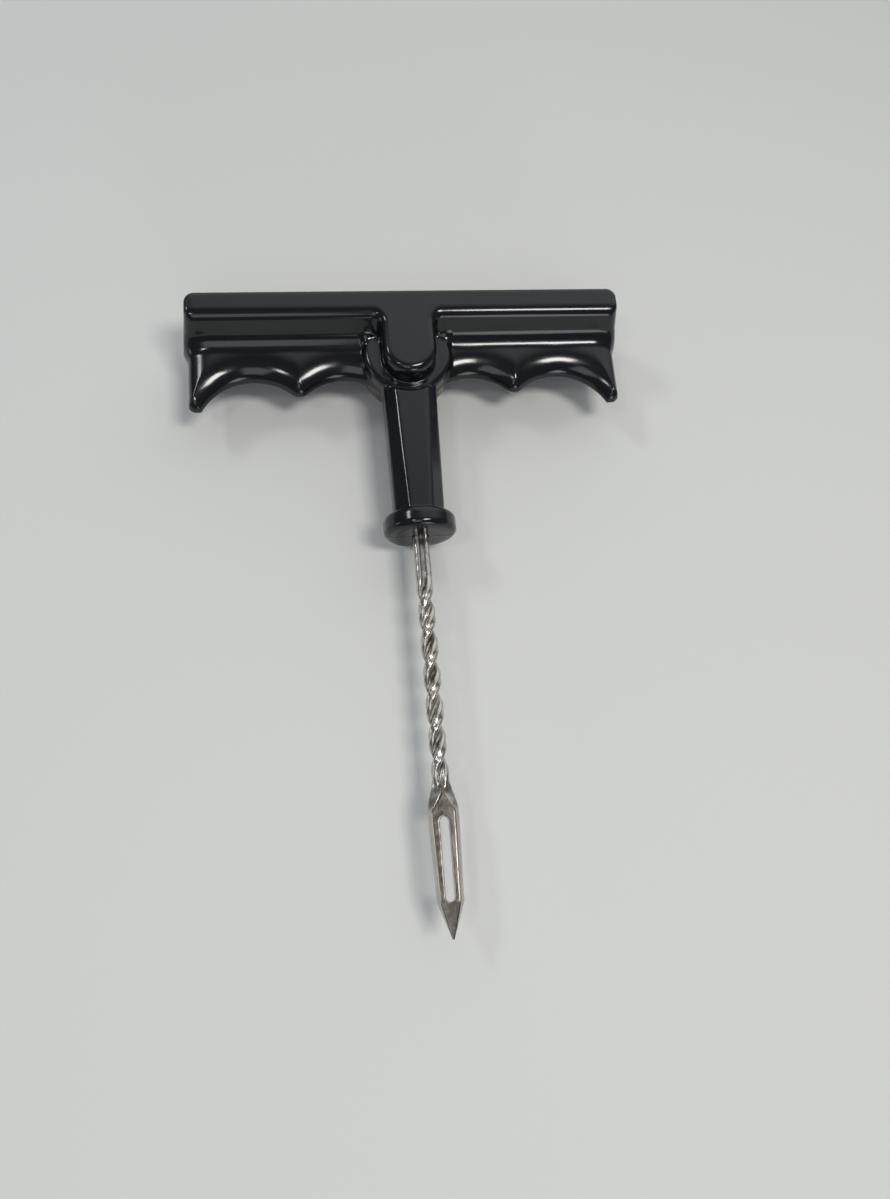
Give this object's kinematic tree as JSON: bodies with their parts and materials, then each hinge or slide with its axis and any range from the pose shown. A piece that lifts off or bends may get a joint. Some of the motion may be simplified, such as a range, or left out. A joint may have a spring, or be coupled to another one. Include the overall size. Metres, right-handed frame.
{
  "type": "tyre plug insertion tool",
  "caption": "Moulded T-handle with finger scallops on a twisted steel reamer shank that ends in a pointed lance with a long eye for a tyre plug string.",
  "frame": {"origin": "under the middle of the tool as it lies on its back, on the plane of the back faces of flange and pad", "axes": "+X along the T-bar, +Y up the shank towards the palm face, +Z out of the front"},
  "size_m": [0.092, 0.127, 0.0196],
  "materials": {
    "moulded_plastic": "moulded black, semi-gloss",
    "shank_steel": "bright rolled and twisted bar"
  },
  "bodies": {
    "root": {"handle": "moulded_plastic", "reamer_shank": "shank_steel"}
  },
  "joints": []
}
